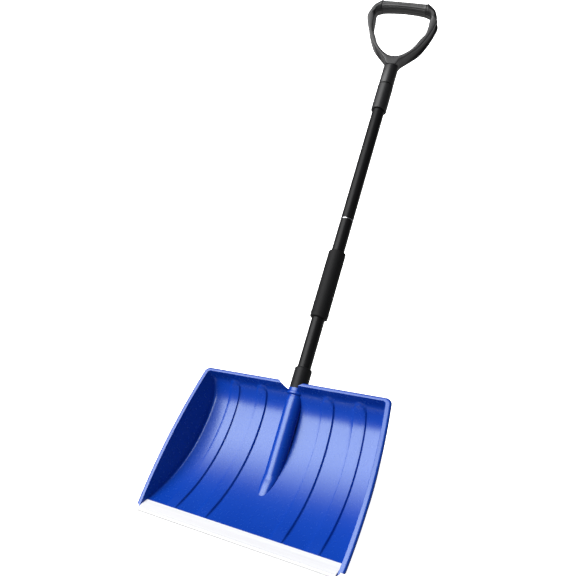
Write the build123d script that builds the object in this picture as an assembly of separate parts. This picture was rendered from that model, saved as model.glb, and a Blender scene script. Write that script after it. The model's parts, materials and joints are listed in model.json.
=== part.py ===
from build123d import *
import math
import os

# Snow shovel with a moulded scoop blade, a two-section tube handle and a D-grip on a telescoping
# inner tube.  Millimetres.  +Z is up, +X runs across the blade and +Y points back to the user.
# The origin is the middle of the leading edge, on the ground under the wear strip.

# ---- scoop blade ----
WALL = 3.3                    # moulded wall thickness
FLOOR_TOP = 5.0               # height of the floor's upper face behind the leading edge
FLAT = 24.0                   # straight stretch of floor that carries the wear strip
FLOOR_R, FLOOR_TURN = 255.8, 48.1      # floor and back wall: three tangent arcs, radius and turn
SHOULDER_R, SHOULDER_TURN = 85.0, 27.1
CURL_R, CURL_TURN = 22.0, 38.0
OPENING_RISE = 33.2           # slope of the scoop's open face
BLADE_HEIGHT = 277.4          # leading edge to top rim, along the open face
HALF_WIDTH_EDGE = 204.5       # half width of the rim at the leading edge
HALF_WIDTH_TOP = 191.8        # half width of the rim at the top
SIDE_BOW = 8.8                # outward bow of each side rim
SIDE_DRAFT = 15.5             # the side walls lean inward behind the open face, in degrees
RIM_LAND = 9.4                # flat front face of the rim
RIM_PLATE = 2.8               # thickness of that face
RIM_LIP = 2.5                 # thickness of the turned-back outer lip
RIM_DEPTH = 5.0               # depth of the lip
RIM_CORNER_R = 12.0
RIM_TOP_INNER = 270.4         # where the curled wall meets the rim, along the open face
RIM_CLEARANCE = 0.6           # the rim tips stop this far above the ground
RIB_RAISE = 3.6               # stiffening ribs stand this proud of the hollow face
RIB_HALF_WIDTH = 13.0
RIB_TOP = 268.5               # height of the ribs' rounded ends along the open face
RIB_START = 20.0              # ribs start behind the wear strip
RIB_CENTRES = ((69.5, 75.8), (130.5, 142.5))    # centre of each rib at the top and at the edge
NOTCH_R, NOTCH_CENTRE = 39.0, 305.7      # round notch in the top rim, for the handle

# ---- wear strip ----
STRIP_SHEET = 1.7
STRIP_FRONT, STRIP_REAR = -7.0, 18.5
STRIP_NOSE = 2.0              # thickness of the strip's folded front edge
STRIP_END_GAP = 0.5
EDGE_GAP = 0.4                # the floor's edge stops short of that fold
RIVET_R, RIVET_HEAD_R, RIVET_LENGTH = 2.0, 3.6, 4.4
RIVET_HEAD_DEPTH = 1.3
RIVET_SPACING, RIVET_PAIRS, RIVET_Y = 88.0, 2, 8.0

# ---- handle line, measured along the handle from the level of the top rim ----
HANDLE_RISE = 42.96           # slope of the handle
HANDLE_BEHIND = 30.4          # the handle passes this far behind the open face at the rim
TUBE_R = 12.5
LOWER_BORE_R = 11.2
UPPER_BORE_R = 11.5
SOCKET_BORE_R = 12.7
STUB_R, STUB_TOP = 16.5, -2.0
FLANGE_R, FLANGE_TOP, FLANGE_BOTTOM = 17.8, -7.0, -11.0  # bead round the foot of the stub
CREASE_R, CREASE_AT = 14.2, -16.0                        # waist between the stub and the hump
HUMP_R, HUMP_FULL_AT, HUMP_BOTTOM = 15.2, -38.0, -198.0
SOCKET_FLOOR = -152.0         # blind end of the socket bore
HUMP_FULL_END = -158.0        # below this only the front of the hump remains
LOWER_TUBE_BOTTOM = -150.0
FERRULE_R, FERRULE_TOP, FERRULE_CHAMFER = 16.0, 38.0, 2.0
SLEEVE_R, SLEEVE_BOTTOM, SLEEVE_TOP, SLEEVE_ROUND = 16.8, 136.0, 273.0, 2.5
SLEEVE_BEAD_R, SLEEVE_BEAD_AT = 17.2, 145.0
JOINT_AT = 343.0              # upper end of the lower tube
JOINT_RING = 2.0              # bare metal ring between the two sections
JOINT_RING_R = 12.0
THREAD_R = 7.0                # radius of the threaded stud's bore
THREAD_CLEARANCE = 0.1
THREAD_LENGTH = 26.0
PLUG_LENGTH = 40.0
COLLAR_R, COLLAR_BOTTOM, COLLAR_TOP = 15.95, 602.0, 664.0
COLLAR_LIP_R = 11.6
LOCK_BASE_R = 14.2
LOCK_BASE_BOTTOM, LOCK_BASE_TOP = 606.0, 641.0
UPPER_TUBE_TOP = 640.0
COLLET_BOTTOM, COLLET_TOP = 641.5, 660.0
COLLET_SLOTS, COLLET_SLOT_WIDTH, COLLET_SLOT_HEIGHT = 4, 1.6, 26.0
INNER_TUBE_R, INNER_BORE_R = 11.0, 9.8
INNER_TUBE_BOTTOM = 392.0
RUNNING = 0.05                # radial clearance of a running fit
BUSH_STEM_R = 5.0
BUSH_LENGTH = 16.0
CLIP_R, CLIP_THICKNESS = 7.5, 1.2

# ---- D-grip, in its own plane, from the same level along the handle ----
GRIP_TWIST = 18.8             # the grip stands turned on the handle
GRIP_LEAN = 14.0              # and its loop leans forward from the neck
NECK_R, NECK_BOTTOM, NECK_TOP = 15.3, 666.0, 722.0
GRIP_THICKNESS = 36.0
GRIP_EDGE_ROUND = 2.0
ARM_FOOT, ARM_MIDDLE = (16.5, 725.0), (45.2, 756.0)      # points on the loop's outside
GRIP_HALF_WIDTH, GRIP_SHOULDER = 74.2, 821.0             # its widest point
GRIP_TOP_HALF_WIDTH, GRIP_TOP = 59.0, 862.0
GRIP_CORNER_R = 12.0
OPENING_HALF_WIDTH = 59.3
OPENING_TOP = 838.5
OPENING_CORNER_R = 8.0
OPENING_SIDE_TOP = 812.0      # above this the opening's sides are straight
OPENING_BOTTOM = 732.8
OPENING_BOTTOM_R = 38.0
INNER_TUBE_TOP = 716.0
BAR_HALF_LENGTH = 47.0
BAR_HALF_HEIGHT, BAR_HALF_DEPTH = 11.6, 18.0
BAR_COVER = 2.5
SCREW_R, SCREW_HEAD_R, SCREW_HEAD = 2.2, 4.4, 2.4
SCREW_TIP = 5.0               # screw tips stop this far from the handle line
SOCKET_SCREW_AT, GRIP_SCREW_AT = -110.0, 694.0

FAR = 400.0                   # larger than any section, for cutting
SCOOP_DEPTH = 120.0           # deeper than the scoop behind its open face
FLOOR_EDGE = STRIP_FRONT + STRIP_NOSE + EDGE_GAP
EDGE_LIP = 8.0                # the floor's edge runs this far back inside the folded strip
OPENING_COS = math.cos(math.radians(OPENING_RISE))
OPENING_SIN = math.sin(math.radians(OPENING_RISE))
HANDLE_COS = math.cos(math.radians(HANDLE_RISE))
HANDLE_SIN = math.sin(math.radians(HANDLE_RISE))


def place(up, behind):
    """Side-view point (y, z) at a height along the open face and a depth behind it."""
    return (up * OPENING_COS + behind * OPENING_SIN,
            FLOOR_TOP + up * OPENING_SIN - behind * OPENING_COS)


OPEN_FACE = Plane(origin=(0, 0, FLOOR_TOP), x_dir=(1, 0, 0), z_dir=(0, OPENING_SIN, -OPENING_COS))
RIM_Y, RIM_Z = place(BLADE_HEIGHT, HANDLE_BEHIND)
HANDLE = Plane(origin=(0, RIM_Y, RIM_Z), x_dir=(1, 0, 0), z_dir=(0, HANDLE_COS, HANDLE_SIN))
GRIP = HANDLE * Rot(0, 0, GRIP_TWIST)
LEANING = Pos(0, 0, NECK_TOP) * Rot(GRIP_LEAN, 0, 0) * Pos(0, 0, -NECK_TOP)


# ---- helpers ----
def tube(bottom, top, outer, inner=0.0):
    """A round bar or tube along the handle line."""
    piece = Cylinder(outer, top - bottom, align=(Align.CENTER, Align.CENTER, Align.MIN))
    if inner:
        piece -= Cylinder(inner, top - bottom, align=(Align.CENTER, Align.CENTER, Align.MIN))
    return Pos(0, 0, bottom) * piece


def ends(piece, where):
    """The circular edges of a piece at one height along the handle line."""
    return [e for e in piece.edges().filter_by(GeomType.CIRCLE) if abs(e.center().Z - where) < 0.01]


def outer_end(piece, where):
    """The largest circular edge at one height."""
    return max(ends(piece, where), key=lambda e: e.radius)


def profile(raised):
    """The blade's side-view line, raised off the hollow face by a distance."""
    flat = Line((STRIP_FRONT, FLOOR_TOP + raised), (FLAT, FLOOR_TOP + raised))
    floor = JernArc(flat @ 1, flat % 1, FLOOR_R - raised, FLOOR_TURN)
    shoulder = JernArc(floor @ 1, floor % 1, SHOULDER_R - raised, SHOULDER_TURN)
    curl = JernArc(shoulder @ 1, shoulder % 1, CURL_R - raised, CURL_TURN)
    lead = Line(curl @ 1, curl @ 1 + (curl % 1) * CURL_R)
    return [flat, floor, shoulder, curl, lead]


def across(edges):
    """A closed side-view outline carried right across the blade."""
    return extrude(Plane.YZ * make_face(edges), FAR, both=True)


def band(low, high):
    """Everything between two raised profile lines."""
    first, second = profile(low), profile(high)
    caps = [Line(first[0] @ 0, second[0] @ 0), Line(first[-1] @ 1, second[-1] @ 1)]
    return across(first + second + caps)


def in_front_of(raised):
    """Everything on the hollow side of a raised profile line."""
    lines = profile(raised)
    low, high = lines[0] @ 0, lines[-1] @ 1
    return across(lines + [Line(low, (-FAR, low.Y)), Line((-FAR, low.Y), (-FAR, high.Y)),
                           Line((-FAR, high.Y), high)])


def face_outline(inset, top):
    """Front-view outline of the scoop, inset from the outside of the rim."""
    edge, upper = HALF_WIDTH_EDGE - inset, HALF_WIDTH_TOP - inset
    middle = (edge + upper) / 2 + SIDE_BOW
    below = (edge + (edge - upper) * FLAT / BLADE_HEIGHT, -FLAT)
    right = ThreePointArc((edge, 0), (middle, BLADE_HEIGHT / 2), (upper, top))
    left = mirror(right, Plane.YZ)
    tails = [Line((edge, 0), below), Line((-edge, 0), (-below[0], below[1])),
             Line(below, (-below[0], below[1]))]
    # the open face's own y axis runs down the blade, so the outline is turned over
    return make_face([right, left, Line((upper, top), (-upper, top))] + tails)


def through(face, front, back):
    """A front-view face carried through the blade between two depths behind the open face."""
    flipped = mirror(face, Plane.XZ)
    return OPEN_FACE * (Pos(0, 0, front) * extrude(flipped, back - front))


def scoop(inset):
    """Everything between the drafted side walls, inset from the outside of the rim."""
    drawn_in = inset + SCOOP_DEPTH * math.tan(math.radians(SIDE_DRAFT))
    mouth = mirror(face_outline(inset, BLADE_HEIGHT), Plane.XZ)
    back = mirror(face_outline(drawn_in, BLADE_HEIGHT), Plane.XZ)
    return OPEN_FACE * loft([mouth, Pos(0, 0, SCOOP_DEPTH) * back], ruled=True)


def beyond(y, z=-FAR):
    """Everything behind a depth and above a height."""
    return Pos(0, y, z) * Box(3 * FAR, 3 * FAR, 3 * FAR, align=(Align.CENTER, Align.MIN, Align.MIN))


def rib_face(side, centres, half_width):
    """Front-view outline of one rib: a slightly splayed strip with a rounded top end."""
    top, edge = centres
    low = Pos(side * edge, 0) * Circle(half_width)
    high = Pos(side * top, RIB_TOP - half_width) * Circle(half_width)
    return make_hull(low.edges() + high.edges())


# ---- blade section ----
def make_blade():
    shell = in_front_of(-WALL) & scoop(RIM_LAND - WALL)
    shell &= through(face_outline(0, RIM_TOP_INNER + WALL), 0, FAR)
    hollow = in_front_of(0) & scoop(RIM_LAND)
    # each rib is left standing in the hollow and has a channel behind it
    raised = band(0, RIB_RAISE) & beyond(RIB_START)
    channel = band(-2 * WALL, RIB_RAISE - WALL) & beyond(RIB_START)
    for side in (-1, 1):
        for centres in RIB_CENTRES:
            hollow -= raised & through(rib_face(side, centres, RIB_HALF_WIDTH), 0, FAR)
            shell -= channel & through(rib_face(side, centres, RIB_HALF_WIDTH - WALL), 0, FAR)
    rim_outline = face_outline(0, BLADE_HEIGHT)
    corners = rim_outline.vertices().group_by(Axis.Y)[-1]
    rim = through(fillet(corners, RIM_CORNER_R), 0, RIM_DEPTH)
    rim -= through(face_outline(RIM_LIP, BLADE_HEIGHT - RIM_LIP), RIM_PLATE, FAR)
    rim -= through(face_outline(RIM_LAND, RIM_TOP_INNER), -FAR, FAR)
    blade = (shell - hollow + rim) & beyond(FLOOR_EDGE, RIM_CLEARANCE)
    blade += Pos(0, FLOOR_EDGE, FLOOR_TOP - WALL) * Box(
        2 * (HALF_WIDTH_EDGE - RIM_LAND), EDGE_LIP, WALL, align=(Align.CENTER, Align.MIN, Align.MIN))

    blade -= through(Pos(0, NOTCH_CENTRE) * Circle(NOTCH_R), -FAR, FAR)

    waist = CREASE_AT - HUMP_FULL_AT
    hump = HANDLE * (tube(HUMP_BOTTOM, HUMP_FULL_AT, HUMP_R)
                     + Pos(0, 0, HUMP_FULL_AT + waist / 2) * Cone(HUMP_R, CREASE_R, waist)
                     + Pos(0, 0, (CREASE_AT + FLANGE_BOTTOM) / 2)
                     * Cone(CREASE_R, FLANGE_R, FLANGE_BOTTOM - CREASE_AT)
                     + tube(FLANGE_BOTTOM, FLANGE_TOP, FLANGE_R) + tube(FLANGE_TOP, STUB_TOP, STUB_R))
    front_part = in_front_of(-WALL)
    full_part = HANDLE * tube(HUMP_FULL_END, FAR, 2 * HUMP_R)
    blade += (hump & front_part) + (hump & full_part)
    blade -= HANDLE * tube(SOCKET_FLOOR, FAR, SOCKET_BORE_R)
    blade -= HANDLE * screw_hole(SOCKET_SCREW_AT)
    return blade


def make_strip():
    width = 2 * (HALF_WIDTH_EDGE - RIM_LAND - STRIP_END_GAP)
    height = FLOOR_TOP + STRIP_SHEET
    low = (Align.CENTER, Align.MIN, Align.MIN)
    strip = Pos(0, STRIP_FRONT, 0) * Box(width, STRIP_REAR - STRIP_FRONT, height, align=low)
    strip = fillet(strip.edges().filter_by(Axis.X).group_by(Axis.Y)[0], STRIP_NOSE - 0.2)
    strip -= Pos(0, STRIP_FRONT + STRIP_NOSE, STRIP_SHEET) * Box(
        width, FAR, FLOOR_TOP - STRIP_SHEET, align=low)
    between_walls = scoop(RIM_LAND + STRIP_END_GAP)
    in_front = through(face_outline(RIM_LAND + STRIP_END_GAP, BLADE_HEIGHT), -FLAT, 0)
    return strip & (between_walls + in_front)


def make_rivets():
    rivets = []
    for number in range(-RIVET_PAIRS, RIVET_PAIRS + 1):
        shank = Cylinder(RIVET_R, RIVET_LENGTH, align=(Align.CENTER, Align.CENTER, Align.MIN))
        head = Cone(RIVET_HEAD_R, RIVET_R, RIVET_HEAD_DEPTH, align=(Align.CENTER, Align.CENTER, Align.MIN))
        rivets.append(Pos(number * RIVET_SPACING, RIVET_Y, 0) * (shank + head))
    return rivets


def screw_hole(where):
    """Hole for a screw driven into the handle line from behind."""
    hole = Cylinder(SCREW_R, FAR, align=(Align.CENTER, Align.CENTER, Align.MIN))
    return Pos(0, SCREW_TIP, where) * Rot(-90, 0, 0) * hole


def make_screw(where, surface_r):
    """A pan-head screw driven in from behind until its head meets a surface."""
    shank = Cylinder(SCREW_R, surface_r - SCREW_TIP, align=(Align.CENTER, Align.CENTER, Align.MAX))
    head = Cylinder(SCREW_HEAD_R, SCREW_HEAD, align=(Align.CENTER, Align.CENTER, Align.MIN))
    head = fillet(head.edges().group_by(Axis.Z)[-1], SCREW_HEAD / 2)
    return Pos(0, surface_r, where) * Rot(-90, 0, 0) * (shank + head)


# ---- handle pieces ----
def make_ferrule():
    ferrule = tube(STUB_TOP, FERRULE_TOP, FERRULE_R, TUBE_R + RUNNING)
    return chamfer(outer_end(ferrule, FERRULE_TOP), FERRULE_CHAMFER)


def make_sleeve():
    sleeve = tube(SLEEVE_BOTTOM, SLEEVE_TOP, SLEEVE_R)
    sleeve = fillet([outer_end(sleeve, SLEEVE_BOTTOM), outer_end(sleeve, SLEEVE_TOP)], SLEEVE_ROUND)
    sleeve += tube(SLEEVE_BEAD_AT, SLEEVE_BEAD_AT + 2, SLEEVE_BEAD_R)
    return sleeve - tube(SLEEVE_BOTTOM, SLEEVE_TOP, TUBE_R)


def make_lock_collar():
    collar = tube(COLLAR_BOTTOM, COLLAR_TOP, COLLAR_R)
    collar = fillet([outer_end(collar, COLLAR_BOTTOM), outer_end(collar, COLLAR_TOP)], 1)
    collar -= tube(COLLAR_BOTTOM, LOCK_BASE_BOTTOM, TUBE_R + 0.4)
    collar -= tube(LOCK_BASE_BOTTOM, COLLET_TOP + 1, LOCK_BASE_R + RUNNING)
    return collar - tube(COLLET_TOP + 1, COLLAR_TOP, COLLAR_LIP_R)


def make_lock_base():
    return tube(LOCK_BASE_BOTTOM + 0.5, LOCK_BASE_TOP, LOCK_BASE_R, TUBE_R)


def make_collet():
    collet = tube(COLLET_BOTTOM, COLLET_TOP, LOCK_BASE_R - 0.5)
    collet = chamfer(outer_end(collet, COLLET_TOP), 1.2)
    collet -= tube(COLLET_BOTTOM, COLLET_TOP, INNER_TUBE_R + RUNNING)
    for number in range(COLLET_SLOTS):
        slot = Pos(LOCK_BASE_R, 0, COLLET_TOP) * Box(2 * LOCK_BASE_R, COLLET_SLOT_WIDTH, COLLET_SLOT_HEIGHT)
        collet -= Rot(0, 0, 45 + number * 360 / COLLET_SLOTS) * slot
    return collet


def make_guide_bush():
    bush_top = INNER_TUBE_BOTTOM - 0.5
    bush = tube(bush_top - BUSH_LENGTH, bush_top, UPPER_BORE_R - RUNNING)
    bush = chamfer([outer_end(bush, bush_top), outer_end(bush, bush_top - BUSH_LENGTH)], 0.8)
    return bush - tube(bush_top - BUSH_LENGTH, bush_top, BUSH_STEM_R + RUNNING)


def make_inner_plug():
    stem_bottom = INNER_TUBE_BOTTOM - 1 - BUSH_LENGTH - CLIP_THICKNESS - 2.5
    plug = tube(INNER_TUBE_BOTTOM, INNER_TUBE_BOTTOM + 24, INNER_BORE_R)
    stem = tube(stem_bottom, INNER_TUBE_BOTTOM, BUSH_STEM_R)
    stem = chamfer(outer_end(stem, stem_bottom), 0.8)
    groove_top = INNER_TUBE_BOTTOM - 1 - BUSH_LENGTH
    return plug + stem - tube(groove_top - CLIP_THICKNESS, groove_top, 2 * BUSH_STEM_R, BUSH_STEM_R - 1)


def make_bush_clip():
    groove_top = INNER_TUBE_BOTTOM - 1 - BUSH_LENGTH
    clip = tube(groove_top - CLIP_THICKNESS, groove_top, CLIP_R, BUSH_STEM_R - 1)
    return clip - Pos(0, CLIP_R, groove_top) * Box(1.6 * BUSH_STEM_R, 2 * CLIP_R, 4 * CLIP_THICKNESS)


def grip_outline():
    """Outside of the D in its own plane: spreading arms, cut-off shoulders and a flat top."""
    shoulder, corner = (GRIP_HALF_WIDTH, GRIP_SHOULDER), (GRIP_TOP_HALF_WIDTH, GRIP_TOP)
    foot = (ARM_FOOT[0], ARM_FOOT[1] - NECK_R / 2)
    right = [
        Line((0, foot[1]), foot),
        Line(foot, ARM_FOOT),
        ThreePointArc(ARM_FOOT, ARM_MIDDLE, shoulder),
        Line(shoulder, corner),
        Line(corner, (0, GRIP_TOP)),
    ]
    face = make_face(right + [mirror(edge, Plane.YZ) for edge in right])
    rows = face.vertices().group_by(Axis.Y)
    return fillet(rows[-1] + rows[-2], GRIP_CORNER_R)


def grip_opening():
    """The finger opening: round below, spreading sides, square top with rounded corners."""
    low = OPENING_BOTTOM + OPENING_BOTTOM_R
    rise = OPENING_SIDE_TOP - low
    # side arcs upright at the top and tangent to the round bottom
    side_r = (OPENING_HALF_WIDTH ** 2 + rise ** 2 - OPENING_BOTTOM_R ** 2) / (
        2 * (OPENING_HALF_WIDTH - OPENING_BOTTOM_R))
    reach = side_r - OPENING_BOTTOM_R
    lean = ((side_r - OPENING_HALF_WIDTH) / reach, -rise / reach)
    meet = (OPENING_BOTTOM_R * lean[0], low + OPENING_BOTTOM_R * lean[1])
    half_turn = math.atan2(rise, side_r - OPENING_HALF_WIDTH) / 2
    middle = (OPENING_HALF_WIDTH - side_r * (1 - math.cos(half_turn)),
              OPENING_SIDE_TOP - side_r * math.sin(half_turn))
    bottom_middle = (OPENING_BOTTOM_R * math.sin(0.4), low - OPENING_BOTTOM_R * math.cos(0.4))
    side_top = (OPENING_HALF_WIDTH, OPENING_SIDE_TOP)
    right = [
        ThreePointArc((0, OPENING_BOTTOM), bottom_middle, meet),
        ThreePointArc(meet, middle, side_top),
        Line(side_top, (OPENING_HALF_WIDTH, OPENING_TOP)),
        Line((OPENING_HALF_WIDTH, OPENING_TOP), (0, OPENING_TOP)),
    ]
    face = make_face(right + [mirror(edge, Plane.YZ) for edge in right])
    return fillet(face.vertices().group_by(Axis.Y)[-1], OPENING_CORNER_R)


def bar(shrink):
    """The oval hand bar, or its core when shrunk."""
    section = Ellipse(BAR_HALF_DEPTH - shrink, BAR_HALF_HEIGHT - shrink)
    centre = Plane(origin=(0, 0, GRIP_TOP - BAR_HALF_HEIGHT), x_dir=(0, 1, 0), z_dir=(1, 0, 0))
    return LEANING * (centre * extrude(section, BAR_HALF_LENGTH, both=True))


def make_grip_frame():
    upright = Plane.XZ
    loop = upright * extrude(grip_outline() - grip_opening(), GRIP_THICKNESS / 2, both=True)
    rims = loop.faces().filter_by(Axis.Y).edges()
    loop = LEANING * fillet(rims, GRIP_EDGE_ROUND)
    seat = LEANING * Pos(0, 0, GRIP_TOP - BAR_HALF_HEIGHT) * Box(
        2 * BAR_HALF_LENGTH, 2 * GRIP_THICKNESS, 2 * BAR_HALF_HEIGHT + 2)
    frame = loop - seat + (bar(BAR_COVER) & seat)
    neck = tube(NECK_BOTTOM, NECK_TOP, NECK_R)
    neck = fillet(outer_end(neck, NECK_BOTTOM), 1)
    frame += neck
    frame -= tube(NECK_BOTTOM, INNER_TUBE_TOP, INNER_TUBE_R)
    return frame - screw_hole(GRIP_SCREW_AT)


def make_grip_cover():
    return bar(0) - bar(BAR_COVER)


def main():
    os.makedirs("parts", exist_ok=True)
    upper_plug_bottom = JOINT_AT + JOINT_RING
    blade_side = {
        "blade_scoop": make_blade(),
        "wear_strip": make_strip() - make_rivets(),
        "strip_rivets": Compound(children=[rivet.solid() for rivet in make_rivets()]),
    }
    blade_side["blade_scoop"] -= make_rivets()
    handle_side = {
        "blade_ferrule": make_ferrule(),
        "socket_screw": make_screw(SOCKET_SCREW_AT, HUMP_R),
        "lower_tube": tube(LOWER_TUBE_BOTTOM, JOINT_AT, TUBE_R, LOWER_BORE_R) - screw_hole(SOCKET_SCREW_AT),
        "lower_tube_foot": tube(LOWER_TUBE_BOTTOM, LOWER_TUBE_BOTTOM + 18, LOWER_BORE_R),
        "grip_sleeve": make_sleeve(),
        "joint_socket": tube(JOINT_AT - PLUG_LENGTH, JOINT_AT, LOWER_BORE_R, THREAD_R),
        "joint_ring": tube(JOINT_AT, upper_plug_bottom, JOINT_RING_R, THREAD_R),
        "joint_stud": tube(JOINT_AT - THREAD_LENGTH, upper_plug_bottom + 20, THREAD_R - THREAD_CLEARANCE),
        "joint_stud_plug": tube(upper_plug_bottom, upper_plug_bottom + 22, UPPER_BORE_R),
        "upper_tube": tube(upper_plug_bottom, UPPER_TUBE_TOP, TUBE_R, UPPER_BORE_R),
        "lock_base": make_lock_base(),
        "lock_collet": make_collet(),
        "lock_collar": make_lock_collar(),
        "guide_bush": make_guide_bush(),
    }
    handle_side["joint_stud_plug"] -= handle_side["joint_stud"]
    grip_side = {
        "inner_tube": tube(INNER_TUBE_BOTTOM, INNER_TUBE_TOP, INNER_TUBE_R, INNER_BORE_R)
        - screw_hole(GRIP_SCREW_AT),
        "inner_tube_plug": make_inner_plug(),
        "bush_clip": make_bush_clip(),
        "d_grip_frame": make_grip_frame(),
        "d_grip_cover": make_grip_cover(),
        "d_grip_screw": make_screw(GRIP_SCREW_AT, NECK_R),
    }
    parts = dict(blade_side)
    parts.update({name: HANDLE * piece for name, piece in handle_side.items()})
    parts.update({name: GRIP * piece for name, piece in grip_side.items()})
    for name, piece in parts.items():
        export_step(piece, f"parts/{name}.step")


if __name__ == "__main__":
    main()
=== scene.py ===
import json
import math

import bmesh
import bpy
from mathutils import Matrix, Vector


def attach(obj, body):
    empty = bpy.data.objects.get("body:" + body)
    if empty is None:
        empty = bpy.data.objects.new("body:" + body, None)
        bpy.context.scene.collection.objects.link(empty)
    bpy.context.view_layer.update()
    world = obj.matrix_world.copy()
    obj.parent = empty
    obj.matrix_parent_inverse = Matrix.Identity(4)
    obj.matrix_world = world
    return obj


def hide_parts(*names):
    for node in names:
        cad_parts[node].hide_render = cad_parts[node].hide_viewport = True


# Looks for the snow shovel: a moulded blue scoop, a black tube handle and a black D-grip.
# Metres, in the CAD frame: +X across the blade, +Y back to the user, +Z up from the ground.

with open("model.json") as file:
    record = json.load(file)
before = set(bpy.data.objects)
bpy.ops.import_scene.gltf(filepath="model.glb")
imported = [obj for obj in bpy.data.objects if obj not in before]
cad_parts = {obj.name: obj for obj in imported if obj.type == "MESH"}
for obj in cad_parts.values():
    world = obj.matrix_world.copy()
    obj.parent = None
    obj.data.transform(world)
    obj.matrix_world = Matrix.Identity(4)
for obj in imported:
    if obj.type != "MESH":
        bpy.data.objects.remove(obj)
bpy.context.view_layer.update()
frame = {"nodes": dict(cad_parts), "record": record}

# ---- the scoop's section, ribs and rim, sized as in the CAD model ----
MM = 0.001
WALL = 3.3 * MM
FLOOR_TOP = 5.0 * MM
FLAT = 24.0 * MM
ARCS = ((255.8 * MM, 48.1), (85.0 * MM, 27.1), (22.0 * MM, 38.0))   # radius and turn, floor to curl
OPENING_RISE = math.radians(33.2)
BLADE_HEIGHT = 277.4 * MM
HALF_WIDTH_EDGE, HALF_WIDTH_TOP, SIDE_BOW = 204.5 * MM, 191.8 * MM, 8.8 * MM
SIDE_DRAFT = math.tan(math.radians(15.5))      # the side walls lean inward behind the open face
RIM_LAND, RIM_TOP_INNER = 9.4 * MM, 270.4 * MM
RIM_PLATE, RIM_LIP, RIM_DEPTH = 2.8 * MM, 2.5 * MM, 5.0 * MM
RIM_EDGE_SOFT, RIM_OUTER_ROUND, RIM_CORNER = 0.8 * MM, 3.8 * MM, 12.0 * MM
RIM_GROUND_GAP = 0.8 * MM
TIP_ROUND = 7.0 * MM                # the rim's lower outer corner
LIFT_TURN = 14.0 * MM               # this near the rim, what is lifted off the wall moves level with the rim
EDGE_GAP = 0.45 * MM
CORNER_R = 5.5 * MM                 # fillet between back wall and side walls
FLOOR_CORNER_R = 3.0 * MM           # fillet between floor and side walls
CORNER_GROWS = (170 * MM, 90 * MM)  # where on the open face the one fillet starts to grow into the other
RIB_RAISE, RIB_FLANK = 3.6 * MM, 2.6 * MM
RIB_HALF_WIDTH, RIB_TOP = 13.0 * MM, 268.5 * MM
RIBS = ((69.5 * MM, 75.8 * MM), (130.5 * MM, 142.5 * MM))    # middles at the top and at the leading edge
RIB_FADE = 46.0 * MM                # the ribs rise over this stretch behind the leading edge
NOTCH_R, NOTCH_CENTRE = 39.0 * MM, 305.7 * MM

# ---- the handle line ----
HANDLE_RISE = math.radians(42.96)
HANDLE_BEHIND = 30.4 * MM           # how far behind the rim's middle it passes
GRIP_TWIST = math.radians(18.8)

OPEN_Y, OPEN_Z = math.cos(OPENING_RISE), math.sin(OPENING_RISE)


def from_face(u, up, behind):
    """World point at a place on the blade's open face and a depth behind it."""
    return Vector((u, up * OPEN_Y + behind * OPEN_Z, FLOOR_TOP + up * OPEN_Z - behind * OPEN_Y))


RIM_CENTRE = from_face(0, BLADE_HEIGHT, HANDLE_BEHIND)
HANDLE_AXIS = Vector((0, math.cos(HANDLE_RISE), math.sin(HANDLE_RISE)))
HANDLE_BACK = Vector((0, math.sin(HANDLE_RISE), -math.cos(HANDLE_RISE)))


def on_handle(x, back, along):
    """World point beside the handle line: across, towards its underside, and along it."""
    return RIM_CENTRE + Vector((x, 0, 0)) + HANDLE_BACK * back + HANDLE_AXIS * along


def on_grip(x, back, along):
    """The same, in the D-grip's own turned plane."""
    turned = Matrix.Rotation(GRIP_TWIST, 2) @ Vector((x, back))
    return on_handle(turned.x, turned.y, along)


# ---- small helpers ----
def smooth(x):
    x = min(max(x, 0.0), 1.0)
    return x * x * (3 - 2 * x)


def past(x, place, length):
    """0 before a place and 1 at a length past it, smoothly; a negative length runs the other way."""
    return smooth((x - place) / length)


def lerp(a, b, t):
    return a + (b - a) * t


def spread(keys, counts):
    """Numbers that pass through the keys with that many steps between each pair."""
    out = [keys[0]]
    for a, b, n in zip(keys, keys[1:], counts):
        out += [lerp(a, b, (k + 1) / n) for k in range(n)]
    return out


def mesh_object(name, surface, material):
    data = bpy.data.meshes.new(name)
    data.from_pydata([tuple(v) for v in surface.vertices], [], surface.faces)
    obj = bpy.data.objects.new(name, data)
    bpy.context.scene.collection.objects.link(obj)
    bm = bmesh.new()
    bm.from_mesh(data)
    bmesh.ops.remove_doubles(bm, verts=bm.verts, dist=0.00001)
    bmesh.ops.dissolve_degenerate(bm, edges=bm.edges, dist=0.000005)
    bmesh.ops.recalc_face_normals(bm, faces=bm.faces)
    bm.to_mesh(data)
    bm.free()
    for polygon in data.polygons:
        polygon.use_smooth = True
    data.materials.append(material)
    return obj


class Surface:
    """Collects grids of points into one mesh."""

    def __init__(self):
        self.vertices = []
        self.faces = []

    def grid(self, rows, closed=False):
        """Faces between rows of points, which are rings when closed."""
        start, width = len(self.vertices), len(rows[0])
        for row in rows:
            self.vertices += row
        for j in range(len(rows) - 1):
            for i in range(width if closed else width - 1):
                a, b = start + j * width + i, start + j * width + (i + 1) % width
                self.faces.append((a, b, b + width, a + width))

    def fan(self, ring):
        """Closes a ring over with triangles from its middle."""
        start = len(self.vertices)
        self.vertices += ring + [sum((Vector(p) for p in ring), Vector()) / len(ring)]
        for i in range(len(ring)):
            self.faces.append((start + i, start + (i + 1) % len(ring), start + len(ring)))


def sharpen(obj, degrees):
    """Marks edges that turn by more than an angle, so that they stay crisp under smooth shading."""
    bm = bmesh.new()
    bm.from_mesh(obj.data)
    limit = math.radians(degrees)
    for edge in bm.edges:
        if len(edge.link_faces) == 2 and edge.calc_face_angle(0) > limit:
            edge.smooth = False
    bm.to_mesh(obj.data)
    bm.free()


# ---- materials ----
def new_material(name):
    material = bpy.data.materials.new(name)
    material.use_nodes = True
    return material, material.node_tree, material.node_tree.nodes["Principled BSDF"]


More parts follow.
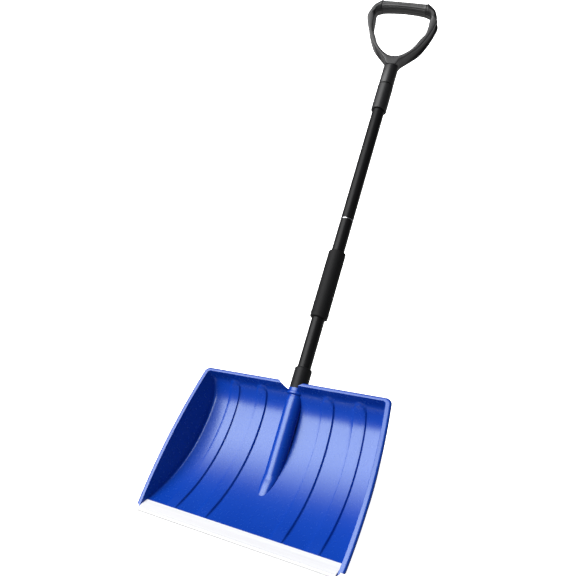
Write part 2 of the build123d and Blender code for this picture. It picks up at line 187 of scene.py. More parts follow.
def add(tree, kind, **inputs):
    node = tree.nodes.new(kind)
    for key, value in inputs.items():
        if key in node.inputs:
            node.inputs[key].default_value = value
        else:
            setattr(node, key, value)
    return node


def noise(tree, scale, detail=3.0, roughness=0.5, stretch=None):
    coords = add(tree, "ShaderNodeTexCoord")
    node = add(tree, "ShaderNodeTexNoise", Scale=scale, Detail=detail, Roughness=roughness)
    source = coords.outputs["Object"]
    if stretch:
        mapping = add(tree, "ShaderNodeMapping", Scale=stretch)
        tree.links.new(source, mapping.inputs["Vector"])
        source = mapping.outputs["Vector"]
    tree.links.new(source, node.inputs["Vector"])
    return node


def ranged(tree, pattern, low, high):
    """Stretches the middle of a noise pattern's range over the numbers given."""
    node = add(tree, "ShaderNodeMapRange")
    for key, value in (("From Min", 0.3), ("From Max", 0.7), ("To Min", low), ("To Max", high)):
        node.inputs[key].default_value = value
    tree.links.new(pattern.outputs["Fac"], node.inputs["Value"])
    return node.outputs["Result"]


def bumps(tree, shader, pattern, strength, distance):
    node = add(tree, "ShaderNodeBump", Strength=strength, Distance=distance)
    tree.links.new(pattern.outputs["Fac"], node.inputs["Height"])
    tree.links.new(node.outputs["Normal"], shader.inputs["Normal"])


def roughness(tree, shader, pattern, low, high):
    tree.links.new(ranged(tree, pattern, low, high), shader.inputs["Roughness"])


def colour(tree, shader, pattern, dark, light):
    share = ranged(tree, pattern, 0, 1)
    node = add(tree, "ShaderNodeMix", data_type="RGBA")
    tree.links.new(share, node.inputs["Factor"])
    node.inputs["A"].default_value = dark + (1,)
    node.inputs["B"].default_value = light + (1,)
    tree.links.new(node.outputs["Result"], shader.inputs["Base Color"])


def blue_plastic():
    material, tree, shader = new_material("blue_polypropylene")
    cloud = noise(tree, 9.0, 4.0)
    colour(tree, shader, cloud, (0.0014, 0.032, 0.28), (0.0020, 0.037, 0.30))
    grain = noise(tree, 160.0, 3.0)
    roughness(tree, shader, grain, 0.25, 0.28)
    shader.inputs["IOR"].default_value = 1.49
    shader.inputs["Specular IOR Level"].default_value = 0.54
    shader.inputs["Specular Tint"].default_value = (0.82, 0.97, 1.0, 1)
    return material


def aluminium():
    """Fine drawing lines that run across the blade."""
    material, tree, shader = new_material("mill_aluminium")
    lines = noise(tree, 60.0, 4.0, 0.6, stretch=(0.05, 6.0, 6.0))
    colour(tree, shader, lines, (0.88, 0.885, 0.89), (0.94, 0.945, 0.95))
    roughness(tree, shader, lines, 0.44, 0.54)
    bumps(tree, shader, lines, 0.04, 0.0002)
    shader.inputs["Metallic"].default_value = 0.5
    return material


def black_tube():
    material, tree, shader = new_material("black_powder_coat")
    peel = noise(tree, 900.0, 2.0)
    colour(tree, shader, peel, (0.005, 0.005, 0.0055), (0.008, 0.008, 0.0085))
    roughness(tree, shader, peel, 0.30, 0.40)
    bumps(tree, shader, peel, 0.10, 0.0002)
    shader.inputs["Specular IOR Level"].default_value = 0.12
    return material


def black_plastic(name, sheen):
    material, tree, shader = new_material(name)
    spark = noise(tree, 1500.0, 2.0)
    colour(tree, shader, spark, (0.007, 0.007, 0.008), (0.012, 0.012, 0.013))
    roughness(tree, shader, spark, 0.36, 0.50)
    bumps(tree, shader, spark, 0.16, 0.0002)
    shader.inputs["Specular IOR Level"].default_value = sheen
    return material


def soft_rubber(name, sheen):
    material, tree, shader = new_material(name)
    pores = noise(tree, 2200.0, 3.0)
    colour(tree, shader, pores, (0.005, 0.005, 0.0055), (0.012, 0.012, 0.0125))
    roughness(tree, shader, pores, 0.50, 0.66)
    bumps(tree, shader, pores, 0.25, 0.0003)
    shader.inputs["Specular IOR Level"].default_value = sheen
    return material


def pale_plastic():
    material, tree, shader = new_material("pale_acetal")
    cloud = noise(tree, 300.0, 2.0)
    colour(tree, shader, cloud, (0.60, 0.60, 0.56), (0.72, 0.72, 0.68))
    bumps(tree, shader, cloud, 0.05, 0.0002)
    return material


def zinc_steel():
    material, tree, shader = new_material("zinc_plated_steel")
    cloud = noise(tree, 500.0, 3.0)
    colour(tree, shader, cloud, (0.42, 0.43, 0.45), (0.60, 0.60, 0.62))
    roughness(tree, shader, cloud, 0.26, 0.40)
    shader.inputs["Metallic"].default_value = 1.0
    return material


BLUE, METAL, TUBE = blue_plastic(), aluminium(), black_tube()
PLASTIC, MATT_PLASTIC = black_plastic("black_moulded_nylon", 0.42), black_plastic("matt_black_nylon", 0.1)
RUBBER, FOAM = soft_rubber("soft_black_rubber", 0.9), soft_rubber("black_foam", 0.1)
PALE, STEEL = pale_plastic(), zinc_steel()
LOOKS = {
    "blue_plastic": BLUE, "bare_aluminium": METAL, "black_tube": TUBE, "black_plastic": PLASTIC,
    "grip_rubber": RUBBER, "pale_plastic": PALE, "steel": STEEL,
}
# pieces whose finish differs from the rest of their slot
OWN_LOOKS = {"blade_ferrule": MATT_PLASTIC, "grip_sleeve": FOAM, "joint_ring": STEEL}
for part in frame["record"]["subparts"]:
    node = frame["nodes"][part["node"]]
    for slot in node.material_slots:
        slot.material = OWN_LOOKS.get(part["node"], LOOKS[part["material_slot"]])


# ---- the scoop's hollow and back surfaces ----
def section_point(t):
    """Side-view point and heading at a distance along the hollow face from the leading edge."""
    y, z, heading = min(t, FLAT), FLOOR_TOP, 0.0
    t = max(t - FLAT, 0.0)
    for radius, turn in ARCS:
        angle = min(t / radius, math.radians(turn))
        y += radius * (math.sin(heading + angle) - math.sin(heading))
        z += radius * (math.cos(heading) - math.cos(heading + angle))
        heading += angle
        t = max(t - radius * math.radians(turn), 0.0)
    return y + t * math.cos(heading), z + t * math.sin(heading), heading


def section(t, lift):
    """The same point on the open face's axes (height, depth), lifted off the hollow face."""
    y, z, heading = section_point(t)
    z -= FLOOR_TOP
    up, behind = y * OPEN_Y + z * OPEN_Z, y * OPEN_Z - z * OPEN_Y
    # near the rim the lift direction turns into the open face, so that the corner ends level with it
    lean = heading - OPENING_RISE
    across, inward = -math.sin(lean), -math.cos(lean) * smooth(behind / LIFT_TURN)
    size = math.hypot(across, inward)
    return up + lift * across / size, behind + lift * inward / size


def half_width(up):
    """Half the outside width at a height on the open face: tapered, with bowed sides."""
    level = up / BLADE_HEIGHT
    return lerp(HALF_WIDTH_EDGE, HALF_WIDTH_TOP, level) + 4 * SIDE_BOW * level * (1 - level)


NEAR_RIM = (0.280, 0.310)            # distances along the section between which it reaches the rim
HALVINGS = 40


def end_of_section(lift, depth):
    """How far along the section a lifted line reaches a depth near the rim."""
    low, high = NEAR_RIM
    for _ in range(HALVINGS):
        middle = (low + high) / 2
        if section(middle, lift)[1] > depth:
            low = middle
        else:
            high = middle
    return low


def rib_lift(u, up, narrow):
    """How far the ribs raise the surface at a place on the open face."""
    rib_end = RIB_TOP - RIB_HALF_WIDTH
    along = min(max(up, 0.0), rib_end)
    share = 0.0
    for top, edge in RIBS:
        centre = lerp(edge, top, along / rib_end)
        inside = RIB_HALF_WIDTH - narrow - math.hypot(abs(u) - centre, up - along)
        share = max(share, smooth(inside / RIB_FLANK))
    return share * RIB_RAISE


def corner_radius(up):
    """The fillet at the foot of the side walls at a height on the open face."""
    return lerp(FLOOR_CORNER_R, CORNER_R, past(up, *CORNER_GROWS))


def notch_edge(up):
    """Half width of the handle notch at a height on the open face."""
    drop = NOTCH_CENTRE - up
    if drop > NOTCH_R:
        return 0.0
    return math.sqrt(NOTCH_R ** 2 - max(drop, 0.0) ** 2)


# steps across: the middle, the gap beside it, then flank, crown, flank and gap for each rib;
# steps along: from the leading edge past the ribs' start, middle and end to the rim
COLUMN_STEPS = (8, 10, 6, 6, 6, 8, 6, 6, 6, 8)
ROW_STEPS, ROW_SHARES = (6, 14, 60, 30, 22, 14), (0.74, 0.88, 0.96, 1)
CORNER_STEPS, WALL_STEPS = 6, 4
NOTCH_MARGIN, MIDDLE_STRIP, LEADING_STRIP = 3 * MM, 30 * MM, 14 * MM


def floor_row(t, side, thickness):
    """Points across one half of the scoop, from the middle or the notch out to the side wall."""
    base_up = section(t, -thickness)[0]
    radius = corner_radius(section(t, 0)[0])
    wall_up, wall_behind = section(t, radius)
    wall = half_width(wall_up) - RIM_LAND - SIDE_DRAFT * max(wall_behind, 0)
    flank = RIB_FLANK / 2
    reach = RIB_HALF_WIDTH - thickness - flank
    notch = notch_edge(base_up)
    keys = [notch, max(notch + NOTCH_MARGIN, MIDDLE_STRIP)]
    for top, edge in RIBS:
        centre = lerp(edge, top, base_up / BLADE_HEIGHT)
        keys += [centre + way * reach + edge_way * flank for way in (-1, 1) for edge_way in (-1, 1)]
    keys.append(wall - radius)
    risen = smooth(section_point(t)[0] / RIB_FADE)
    row = []
    for u in spread(keys, COLUMN_STEPS):
        up, behind = section(t, rib_lift(u, base_up, thickness) * risen - thickness)
        row.append((side * u, up, behind))
    for k in range(1, CORNER_STEPS + 1):
        angle = math.pi / 2 * k / CORNER_STEPS
        up, behind = section(t, radius - (radius + thickness) * math.cos(angle))
        row.append((side * (wall - radius + (radius + thickness) * math.sin(angle)), up, behind))
    return row


def wall_column(foot, side, thickness, top):
    """Points up a side wall from the foot of one row to the rim."""
    u, up, behind = foot
    top = min(top, behind)
    u_top = side * (half_width(up) - RIM_LAND - SIDE_DRAFT * max(top, 0) + thickness)
    shares = [k / WALL_STEPS for k in range(WALL_STEPS + 1)]
    return [(lerp(u, u_top, share), up, lerp(behind, top, share)) for share in shares]


def row_places(end):
    """Distances along the section for the rows: closer together where ribs end and the wall curls."""
    return spread([EDGE_GAP, LEADING_STRIP, RIB_FADE] + [end * share for share in ROW_SHARES], ROW_STEPS)


def outer_rim(side, stations):
    """For each inner rim point, the rim's outer point beside it on the open face."""
    inner_corner_up = RIM_TOP_INNER - CORNER_R
    outer_corner_up = BLADE_HEIGHT - RIM_CORNER
    inner_corner_u = half_width(RIM_TOP_INNER) - RIM_LAND - CORNER_R
    outer_corner_u = half_width(outer_corner_up) - RIM_CORNER
    out = []
    for u, up, turn in stations:
        if turn == 0:
            outer_up = up * outer_corner_up / inner_corner_up
            tip = max(TIP_ROUND - outer_up, 0)
            outer_u = half_width(outer_up) - (TIP_ROUND - math.sqrt(TIP_ROUND ** 2 - tip ** 2))
        elif turn < 1:
            angle = math.pi / 2 * turn
            outer_u = outer_corner_u + RIM_CORNER * math.cos(angle)
            outer_up = outer_corner_up + RIM_CORNER * math.sin(angle)
        else:
            cut, outer_cut = abs(stations[-1][0]), notch_edge(BLADE_HEIGHT)
            share = (abs(u) - cut) / (inner_corner_u - cut)
            outer_u = lerp(outer_cut, outer_corner_u, share)
            outer_up = BLADE_HEIGHT
        out.append((side * outer_u, outer_up))
    return out


def deepest(up):
    """How deep behind the open face the rim may go before it meets the ground."""
    return (FLOOR_TOP - RIM_GROUND_GAP + up * OPEN_Z) / OPEN_Y


RIM_LAND_STEPS, RIM_ROUND_STEPS = 3, 5
ROUND_SHARE, LIP_SHARE = 0.45, 0.3      # the most of a narrow rim's width that its rounding and lip take


def rim_section(inner, outer, back):
    """Points round the rim from the hollow side over the land and the lip to the wall's outside."""
    u, up, start = inner
    out_u, out_up = outer
    width = math.hypot(out_u - u, out_up - up)

    def at(share, depth):
        return lerp(u, out_u, share), lerp(up, out_up, share), depth

    points = [inner]
    soft = min(RIM_EDGE_SOFT, start)
    for angle in (math.radians(30), math.radians(60), math.radians(90)):
        points.append(at(soft * (1 - math.cos(angle)) / width, start - soft * math.sin(angle)))
    face = points[-1][2]
    rounding = min(RIM_OUTER_ROUND, width * ROUND_SHARE)
    for k in range(1, RIM_LAND_STEPS):
        points.append(at(lerp(soft / width, 1 - rounding / width, k / RIM_LAND_STEPS), face))
    for k in range(RIM_ROUND_STEPS + 1):
        angle = math.pi / 2 * k / RIM_ROUND_STEPS
        inset, drop = rounding * (1 - math.sin(angle)), rounding * (1 - math.cos(angle))
        points.append(at(1 - inset / width, face + drop))
    # down the lip's outside, round its lower edge, up its inside and in along the plate's underside
    highest = face + rounding
    bottom = max(min(RIM_DEPTH, deepest(out_up)), highest)
    lip = min(RIM_LIP, width * LIP_SHARE)
    under = max(min(RIM_PLATE, bottom), back[2])
    return points + [
        at(1, max(bottom - 0.6 * MM, highest)),
        at(1 - 0.3 * lip / width, bottom),
        at(1 - 0.8 * lip / width, bottom),
        at(1 - lip / width, max(bottom - 0.4 * MM, highest)),
        at(1 - lip / width, min(under + 0.5 * MM, bottom)),
        at(1 - (lip + 0.4 * MM) / width, under),
        back,
    ]


def add_blade_half(surface, side):
    """One half of the scoop: hollow surface, back surface, side wall, rim and cut edges."""
    borders = []
    for thickness, depth in ((0.0, RIM_EDGE_SOFT), (WALL, RIM_PLATE)):
        end = end_of_section(-thickness, depth)
        rows = [floor_row(t, side, thickness) for t in row_places(end)]
        walls = [wall_column(row[-1], side, thickness, depth) for row in rows]
        surface.grid([[from_face(*p) for p in row] for row in rows])
        surface.grid([[from_face(*p) for p in wall] for wall in walls])
        # the border runs up the side wall's rim, round the corner and along the top to the notch
        border = [(wall[-1], 0.0) for wall in walls]
        last = rows[-1]
        corner = [(last[-1 - k], k / CORNER_STEPS) for k in range(1, CORNER_STEPS)]
        top = [(point, 1.0) for point in last[:-CORNER_STEPS][::-1]]
        borders.append((border + corner + top, rows, walls))
    (inner, front_rows, front_walls), (back, back_rows, back_walls) = borders
    outer = outer_rim(side, [(p[0], p[1], turn) for p, turn in inner])
    loops = [rim_section(a[0], o, b[0]) for a, o, b in zip(inner, outer, back)]
    surface.grid([[from_face(*p) for p in loop] for loop in loops])
    # cut edges: the notch, the leading edge and the rim's lower tip
    notch = [(a[0], b[0]) for a, b in zip(front_rows, back_rows) if abs(a[0][0]) > 0 and abs(b[0][0]) > 0]
    surface.grid([[from_face(*a), from_face(*b)] for a, b in notch])
    surface.fan([from_face(*p) for p in loops[-1]])
    nose = front_rows[0] + front_walls[0][1:]
    heel = back_rows[0] + back_walls[0][1:]
    surface.grid([[from_face(*a), from_face(*b)] for a, b in zip(nose, heel)])
    surface.fan([from_face(*p) for p in loops[0]])


def make_blade():
    surface = Surface()
    for side in (-1, 1):
        add_blade_half(surface, side)
    blade = mesh_object("blade_shell", surface, BLUE)
    sharpen(blade, 40)
    return blade


# ---- the handle socket moulded on the scoop ----
SOCKET_R, STUB_R, STUB_FOOT_R = 15.2 * MM, 16.5 * MM, 17.8 * MM
STUB_TOP, STUB_FOOT, CREASE = -2.0 * MM, -12.0 * MM, -15.5 * MM
CREASE_R, DOME_LENGTH = 13.4 * MM, 26.0 * MM
SOCKET_BORE_R, SOCKET_FLOOR = 12.7 * MM, -152.0 * MM
SOCKET_END, HUMP_END = -158.0 * MM, -206.0 * MM
HUMP_FADE, HUMP_TIP = -165.0 * MM, 1.2 * MM      # below this the hump narrows to a rounded tip
RING_FRONT, RING_BACK, HUMP_STEPS, SOCKET_STEPS, DOME_STEPS = 40, 24, 30, 12, 14
RING_FRONT_HALF = math.radians(120)
BEHIND_SOCKET = (0.0, 0.262)         # distances along the section between which it passes the socket


def sheet_behind(along):
    """How far behind the handle line the middle of the scoop's wall lies, at a place along the handle."""
    low, high = BEHIND_SOCKET
    for _ in range(HALVINGS):
        t = (low + high) / 2
        y, z, heading = section_point(t)
        middle = Vector((0, y + WALL / 2 * math.sin(heading), z - WALL / 2 * math.cos(heading)))
        if (middle - RIM_CENTRE).dot(HANDLE_AXIS) < along:
            low = t
        else:
            high = t
    return (middle - RIM_CENTRE).dot(HANDLE_BACK)


def hump_ring(radius, along):
    """A ring about the handle line, in two runs of points: its front and its back."""
    keys = (-RING_FRONT_HALF, RING_FRONT_HALF, 2 * math.pi - RING_FRONT_HALF)
    angles = spread(keys, (RING_FRONT, RING_BACK))[:-1]
    return [on_handle(radius * math.sin(angle), -radius * math.cos(angle), along) for angle in angles]


def low_ring(along):
    """A half oval standing on the scoop's wall, closed flat, for the hump's fading lower end."""
    wall = sheet_behind(along)
    root = sheet_behind(max(along, HUMP_FADE))
    share = past(along, HUMP_END, HUMP_FADE - HUMP_END)
    chord = lerp(HUMP_TIP, math.sqrt(SOCKET_R ** 2 - root ** 2), math.sqrt(share))
    height = (SOCKET_R + root) * share
    ring = []
    for angle in spread([-math.pi / 2, math.pi / 2], [RING_FRONT]):
        ring.append(on_handle(chord * math.sin(angle), wall - height * math.cos(angle), along))
    return ring + [on_handle(chord * (1 - 2 * k / RING_BACK), wall, along) for k in range(1, RING_BACK)]


def make_socket():
    """The hump over the end of the handle tube, and the open stub above it."""
    surface = Surface()
    rings = [low_ring(along) for along in spread([HUMP_END, SOCKET_END], [HUMP_STEPS])]
    surface.fan(rings[0])
    dome = spread([CREASE - DOME_LENGTH, CREASE], [DOME_STEPS])
    outline = [(SOCKET_R, along) for along in spread([SOCKET_END, dome[0]], [SOCKET_STEPS])]
    for along in dome[1:]:
        share = 1 - (along - dome[0]) / DOME_LENGTH
        outline.append((CREASE_R + (SOCKET_R - CREASE_R) * math.sqrt(1 - (1 - share) ** 2), along))
    outline += [
        (CREASE_R, CREASE + 0.8 * MM),
        (STUB_FOOT_R - 1.2 * MM, STUB_FOOT - 0.9 * MM), (STUB_FOOT_R - 0.3 * MM, STUB_FOOT - 0.5 * MM),
        (STUB_FOOT_R, STUB_FOOT + 0.4 * MM), (STUB_FOOT_R - 0.4 * MM, STUB_FOOT + 2.2 * MM),
        (STUB_R + 0.3 * MM, STUB_FOOT + 4 * MM), (STUB_R, STUB_FOOT + 6 * MM), (STUB_R, STUB_TOP),
        (SOCKET_BORE_R, STUB_TOP), (SOCKET_BORE_R, SOCKET_FLOOR),
    ]
    rings += [hump_ring(radius, along) for radius, along in outline]
    surface.grid(rings, closed=True)
    surface.fan(rings[-1])
    socket = mesh_object("scoop_socket", surface, BLUE)
    sharpen(socket, 40)
    return socket


# ---- the D-grip ----
FOOT_LEAN, LEAN_GAIN = math.radians(6.0), math.radians(14.0)    # lean at the foot, and more at the top
LEAN_AT, GRIP_TOP = 722.0 * MM, 862.0 * MM
GRIP_HALF_DEPTH, FOOT_HALF_DEPTH = 18.0 * MM, 17.5 * MM
ARM_ROUND, SHOULDER_ROUND, FOOT_ROUND = 1.7 * MM, 10.5 * MM, 3.5 * MM
FLANGE, RECESS, BACK_FLANGE_STEP = 6.5 * MM, 3.6 * MM, 1.2 * MM
BAR_LOW, BAR_ARCH, BAR_SEAT = 838.5 * MM, 4.4 * MM, 51.0 * MM
BAR_RIDGES, RIDGE_DEPTH, BAR_SQUARE = 14, 0.9 * MM, 0.76
BAR_STEPS = 12 * BAR_RIDGES
NECK_R, NECK_BORE_R, NECK_BOTTOM, NECK_TOP = 15.6 * MM, 11.0 * MM, 666.0 * MM, 714.0 * MM
NECK_DOME, NECK_STEPS, INNER_TUBE_TOP = 10.0 * MM, 96, 716.0 * MM
# matching places on the inside and the outside of one half of the loop, from the middle of its foot
# up the arm and round the shoulder to the end of the bar: sideways, and along the handle
LOOP_INSIDE = ((0, 734), (12, 736), (23.5, 742.6), (35.4, 754), (42.1, 765), (48, 777.5), (56.3, 791),
               (58.9, 806), (59.3, 819), (59.3, 828.5), (57.3, 835.5), (51, 838.5))
LOOP_OUTSIDE = ((0, 712), (10, 714), (15.8, 724.5), (27.8, 737), (46.4, 756), (58, 775), (66.8, 795),
                (72.8, 813), (74.2, 823), (71.6, 835.5), (64.5, 850), (49, 862))
LOOP_STEPS = 7
# where the loop's section changes, each a place sideways or along the handle and a length
FLANGE_FROM, FLANGE_UNTIL = (22 * MM, 10 * MM), (832 * MM, -8 * MM)
DEEP_FROM, FOOT_UNTIL, SHOULDER_FROM = (14 * MM, 24 * MM), (26 * MM, -20 * MM), (822 * MM, 24 * MM)


def leaning(x, back, along):
    """World point in the D-grip's loop, which bends forward more and more from the neck."""
    rise, reach = along - LEAN_AT, (GRIP_TOP - LEAN_AT) / LEAN_GAIN
    angle = FOOT_LEAN + rise / reach
    return on_grip(x, back * math.cos(angle) - reach * (math.cos(FOOT_LEAN) - math.cos(angle)),
                   LEAN_AT + back * math.sin(angle) + reach * (math.sin(angle) - math.sin(FOOT_LEAN)))


def bar_height(x):
    """Middle and half height of the hand bar, whose underside is a little arched."""
    low = BAR_LOW + BAR_ARCH * (1 - (x / BAR_SEAT) ** 2)
    return (GRIP_TOP + low) / 2, (GRIP_TOP - low) / 2


def through_points(points):
    """A smooth line through the points, which starts square to the middle line."""
    points = [(-points[1][0], points[1][1])] + list(points)
    points.append(tuple(2 * b - a for a, b in zip(points[-2], points[-1])))
    out = []
    for before, a, b, after in zip(points, points[1:], points[2:], points[3:]):
        for step in range(LOOP_STEPS):
            t = step / LOOP_STEPS
            out.append(tuple(MM * 0.5 * (2 * q + (r - p) * t + (2 * p - 5 * q + 4 * r - s) * t ** 2
                                         + (3 * q - p - 3 * r + s) * t ** 3)
                             for p, q, r, s in zip(before, a, b, after)))
    return out + [tuple(MM * c for c in points[-2])]


def arm_profile(width, depth, r, recess, step):
    """Closed outline across an arm: distance outwards and depth, with a channel down its outer side."""
    corner = [(r, 0), (0.55 * r, 0.1 * r), (0.25 * r, 0.25 * r), (0.1 * r, 0.55 * r), (0, r)]
    inner_front = [(p, q - depth) for p, q in corner]
    inner_back = [(p, depth - q) for p, q in corner[::-1]]
    outer_back = [(width + step - p, depth - q) for p, q in corner]
    outer_front = [(width - p, q - depth) for p, q in corner[::-1]]
    crown = [(-0.3 * MM, -depth / 2), (-0.4 * MM, 0), (-0.3 * MM, depth / 2)]
    lip, floor = depth - FLANGE, width - recess
    soft = 0.4 * MM
    channel = [(width + step, lip + soft), (width + step - soft, lip), (floor + soft, lip - 0.8 * MM),
               (floor, lip - 1.3 * MM), (floor, 0), (floor, 1.3 * MM - lip), (floor + soft, 0.8 * MM - lip),
               (width - soft, -lip), (width, -lip - soft)]
    return inner_front + crown + inner_back + outer_back + channel + outer_front


def loop_rings(side):
    """Outlines across one half of the loop, from the middle of its foot to the end of the bar."""
    rings = []
    for (in_x, in_s), (out_x, out_s) in zip(through_points(LOOP_INSIDE), through_points(LOOP_OUTSIDE)):
        width = math.hypot(out_x - in_x, out_s - in_s)
        n_x, n_s = (out_x - in_x) / width, (out_s - in_s) / width
        flanged = past(out_x, *FLANGE_FROM) * past(out_s, *FLANGE_UNTIL)
        r = lerp(ARM_ROUND, FOOT_ROUND, past(in_x, *FOOT_UNTIL))
        r = lerp(r, SHOULDER_ROUND, past(out_s, *SHOULDER_FROM))
        deep = lerp(FOOT_HALF_DEPTH, GRIP_HALF_DEPTH, past(out_x, *DEEP_FROM))
        profile = arm_profile(width, deep, r, RECESS * flanged, BACK_FLANGE_STEP * flanged)
        rings.append([leaning(side * (in_x + n_x * p), q, in_s + n_s * p) for p, q in profile])
    # the end runs into the bar: a rounded edge, a small step down, and a core inside the cover
    for x, inset in ((48.4, 0.1), (47.6, 0.5), (47.3, 2.6), (44.0, 4.2)):
        middle, half = bar_height(x * MM)
        profile = arm_profile(2 * (half - inset * MM), GRIP_HALF_DEPTH - inset * MM, SHOULDER_ROUND, 0, 0)
        low = middle - half + inset * MM
        rings.append([leaning(side * x * MM, q, low + p) for p, q in profile])
    return rings


def make_loop():
    surface = Surface()
    for side in (-1, 1):
        rings = loop_rings(side)
        surface.grid(rings, closed=True)
        surface.fan(rings[-1])
    loop = mesh_object("grip_loop", surface, PLASTIC)
    sharpen(loop, 50)
    return loop


def make_neck():
    """The round neck that takes the inner tube, domed over into the loop's foot."""
    outline = [
        (NECK_BORE_R, INNER_TUBE_TOP), (NECK_BORE_R, NECK_BOTTOM), (NECK_R - 1.1 * MM, NECK_BOTTOM),
        (NECK_R - 0.35 * MM, NECK_BOTTOM + 0.35 * MM), (NECK_R, NECK_BOTTOM + 1.1 * MM), (NECK_R, NECK_TOP),
    ]
    for angle in (math.radians(10 * k) for k in range(1, 9)):
        outline.append((NECK_R * math.cos(angle), NECK_TOP + NECK_DOME * math.sin(angle)))
    turns = [2 * math.pi * k / NECK_STEPS for k in range(NECK_STEPS)]
    rings = [[on_grip(radius * math.sin(turn), radius * math.cos(turn), along) for turn in turns]
             for radius, along in outline]
    surface = Surface()
    surface.fan(rings[0])
    surface.fan(rings[-1])
    surface.grid(rings, closed=True)
    neck = mesh_object("grip_neck", surface, PLASTIC)
    sharpen(neck, 35)
    return neck


def make_bar():
    """The soft cover of the hand bar: an oval with fine ridges along it."""
    surface = Surface()
    rings = []
    # sideways place, inset and whether ridged
    ends = ((47.2, 2.6, 0), (47.2, 0.8, 0), (46.9, 0.3, 0), (46.4, 0, 0), (45.4, 0, 0), (43.8, 0, 1))
    stations = [(-x, inset, ridged) for x, inset, ridged in ends]
    stations += [(x, 0, 1) for x in range(-40, 41, 5)]
    stations += [(x, inset, ridged) for x, inset, ridged in ends[::-1]]
    for x, inset, ridged in stations:
        middle, half = bar_height(x * MM)
        ring = []
        for k in range(BAR_STEPS):
            angle = 2 * math.pi * k / BAR_STEPS
            groove = ridged * RIDGE_DEPTH * (1 - abs(math.cos(angle * BAR_RIDGES / 2)) ** 0.7)
            shrink = inset * MM + groove
            deep, tall = math.sin(angle), math.cos(angle)
            deep, tall = (math.copysign(abs(c) ** BAR_SQUARE, c) for c in (deep, tall))
            ring.append(leaning(x * MM, (GRIP_HALF_DEPTH - shrink) * deep, middle + (half - shrink) * tall))
        rings.append(ring)
    surface.grid(rings, closed=True)
    surface.fan(rings[0])
    surface.fan(rings[-1])
    bar = mesh_object("grip_bar", surface, RUBBER)
    sharpen(bar, 50)
    return bar


def stand_for(piece, slot, body, *nodes):
    """Hides the CAD nodes that a piece stands for and attaches the piece to the body that it moves with; the
    slot argument is not used.
    """
    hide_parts(*nodes)
    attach(piece, body)


stand_for(make_blade(), "blue_plastic", "blade_section", "blade_scoop")
stand_for(make_socket(), "blue_plastic", "blade_section", "blade_scoop")
stand_for(make_loop(), "black_plastic", "grip_section", "d_grip_frame")
stand_for(make_neck(), "black_plastic", "grip_section", "d_grip_frame")
stand_for(make_bar(), "grip_rubber", "grip_section", "d_grip_cover")


# ---- stage, light and camera ----
CAMERA_PLACE = Vector((0.6249, -0.6095, 0.7264))
CAMERA_RIGHT = Vector((0.8373, 0.5252, -0.1520))
CAMERA_FORWARD = Vector((-0.5423, 0.7619, -0.3541))
CAMERA_LENS = 42.12
FLOOR_DROP = 0.5 * MM
STAGE_FLOOR_R, STAGE_BEND_R, STAGE_STEPS = 5.0, 2.0, 64
SKY_BASE, SKY_PANEL, SKY_BELOW = 0.06, 9.0, 0.5
# the light panel's soft edges, each from its start to its end, as slopes of the view off the vertical;
# the last two are heights of the view's direction
PANEL_NEAR, PANEL_FAR, PANEL_LEFT, PANEL_RIGHT = (-1.75, -1.40), (-0.45, 0.22), (-1.9, -0.9), (-0.12, 0.35)
PANEL_ABOVE, GLOW_BELOW = (0.1, 0.2), (-0.02, -0.12)


def make_camera():
    data = bpy.data.cameras.new("camera")
    data.lens = CAMERA_LENS
    data.sensor_width = 36.0
    data.clip_end = 50.0
    camera = bpy.data.objects.new("camera", data)
    forward = CAMERA_FORWARD.normalized()
    right = (CAMERA_RIGHT - forward * CAMERA_RIGHT.dot(forward)).normalized()
    up = right.cross(forward)
    turn = Matrix((right, up, -forward)).transposed().to_4x4()
    camera.matrix_world = Matrix.Translation(CAMERA_PLACE) @ turn
    bpy.context.scene.collection.objects.link(camera)
    bpy.context.scene.camera = camera


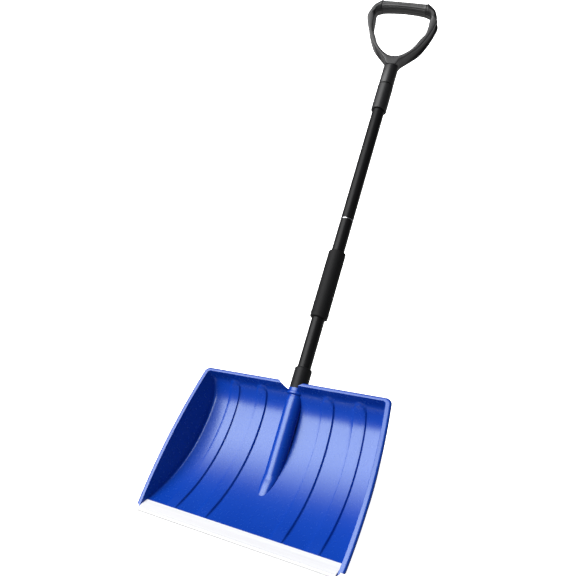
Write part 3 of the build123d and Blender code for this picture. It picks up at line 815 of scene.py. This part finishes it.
def make_backdrop():
    """A round floor that curves up into a wall, seen by the camera only."""
    material, tree, shader = new_material("stage_white")
    shader.inputs["Base Color"].default_value = (0.9, 0.9, 0.9, 1)
    shader.inputs["Roughness"].default_value = 0.95
    shader.inputs["Emission Color"].default_value = (1, 1, 1, 1)
    shader.inputs["Emission Strength"].default_value = 1.05
    grain = noise(tree, 3.0)
    bumps(tree, shader, grain, 0.02, 0.001)
    outline = [(0.5, 0.0), (STAGE_FLOOR_R, 0.0)]
    for angle in (math.radians(10 * k) for k in range(1, 10)):
        outline.append((STAGE_FLOOR_R + STAGE_BEND_R * math.sin(angle), STAGE_BEND_R * (1 - math.cos(angle))))
    outline += [(STAGE_FLOOR_R + STAGE_BEND_R, 6.0), (0.05, 9.0)]
    turns = [2 * math.pi * k / STAGE_STEPS for k in range(STAGE_STEPS)]
    rings = [[Vector((r * math.cos(turn), r * math.sin(turn), z - FLOOR_DROP)) for turn in turns]
             for r, z in outline]
    surface = Surface()
    surface.grid(rings, closed=True)
    surface.fan(rings[0])
    backdrop = mesh_object("stage_backdrop", surface, material)
    for ray in ("diffuse", "glossy", "transmission", "volume_scatter", "shadow"):
        setattr(backdrop, "visible_" + ray, False)


def make_light():
    """A dim room with one broad soft panel of light overhead, in front and to the left."""
    world = bpy.data.worlds.new("studio")
    world.use_nodes = True
    tree = world.node_tree
    background = tree.nodes["Background"]
    coords = add(tree, "ShaderNodeTexCoord")
    split = add(tree, "ShaderNodeSeparateXYZ")
    tree.links.new(coords.outputs["Generated"], split.inputs["Vector"])

    def maths(operation, a, b):
        node = add(tree, "ShaderNodeMath", operation=operation)
        for socket, value in zip(node.inputs, (a, b)):
            if isinstance(value, (int, float)):
                socket.default_value = value
            else:
                tree.links.new(value, socket)
        return node.outputs["Value"]

    def ramp(source, start, end, low=0.0, high=1.0):
        node = add(tree, "ShaderNodeMapRange", interpolation_type="SMOOTHSTEP")
        for key, value in (("From Min", start), ("From Max", end), ("To Min", low), ("To Max", high)):
            node.inputs[key].default_value = value
        tree.links.new(source, node.inputs["Value"])
        return node.outputs["Result"]

    height = maths("MAXIMUM", split.outputs["Z"], 0.05)
    side = maths("DIVIDE", split.outputs["X"], height)
    depth = maths("DIVIDE", split.outputs["Y"], height)
    panel = SKY_PANEL
    for edge in (ramp(depth, *PANEL_NEAR), ramp(depth, *PANEL_FAR, 1.0, 0.0), ramp(side, *PANEL_LEFT),
                 ramp(side, *PANEL_RIGHT, 1.0, 0.0), ramp(split.outputs["Z"], *PANEL_ABOVE)):
        panel = maths("MULTIPLY", panel, edge)
    below = maths("MULTIPLY", ramp(split.outputs["Z"], *GLOW_BELOW), SKY_BELOW)
    tree.links.new(maths("ADD", maths("ADD", panel, SKY_BASE), below), background.inputs["Strength"])
    background.inputs["Color"].default_value = (1, 1, 1, 1)
    bpy.context.scene.world = world


make_camera()
make_backdrop()
make_light()
bpy.context.scene.view_settings.view_transform = "Standard"
